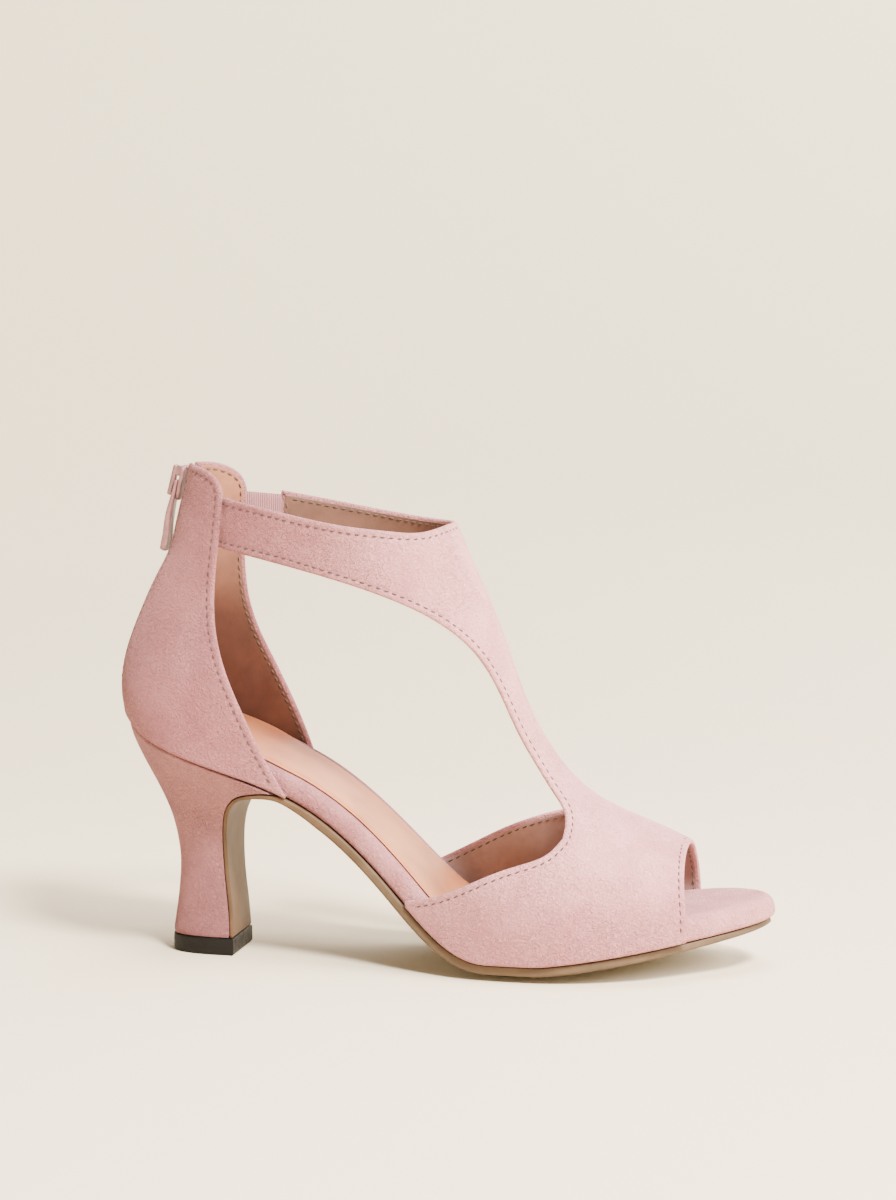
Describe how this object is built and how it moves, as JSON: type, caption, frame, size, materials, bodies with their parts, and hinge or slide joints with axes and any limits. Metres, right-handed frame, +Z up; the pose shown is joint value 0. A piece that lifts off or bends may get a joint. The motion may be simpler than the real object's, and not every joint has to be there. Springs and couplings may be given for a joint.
{
  "type": "t strap shoe",
  "caption": "Suede T-strap shoe with an open toe, closed counter, flared high heel, thin wrapped platform and a back zip with a hanging pull",
  "frame": {"origin": "middle of the shoe's bounding box in plan, on the floor", "axes": "+X from the counter to the toe, +Y to the inner (medial) side, +Z up"},
  "size_m": [0.2287, 0.0818, 0.171],
  "materials": {
    "dusty_pink_suede": "matt suede with a fine crinkled nap",
    "ribbed_elastic": "woven, ribbed",
    "wrapped_platform_suede": "matt suede with a fine crinkled nap",
    "sock_leather": "smooth, soft sheen",
    "outsole_beige": "satin",
    "heel_suede": "matt suede with a fine crinkled nap",
    "top_piece_rubber": "matt",
    "zip_tape_pink": "woven",
    "zip_teeth": "satin",
    "zip_enamel": "satin enamel on metal"
  },
  "bodies": {
    "shoe": {"upper": "dusty_pink_suede", "elastic_gore": "ribbed_elastic", "insole_board": "wrapped_platform_suede", "sock_lining": "sock_leather", "outsole": "outsole_beige", "heel": "heel_suede", "top_piece": "top_piece_rubber", "zip_tape": "zip_tape_pink", "zip_chain": "zip_teeth", "zip_slider": "zip_enamel"},
    "zip_pull": {"zip_pull": "zip_enamel"}
  },
  "joints": [
    {"name": "pull_hinge", "type": "hinge", "parent": "shoe", "child": "zip_pull", "pos_m": [-0.09398, 0.00025, 0.16427], "axis": [0, 1, 0], "range_deg": [0, 160]}
  ]
}
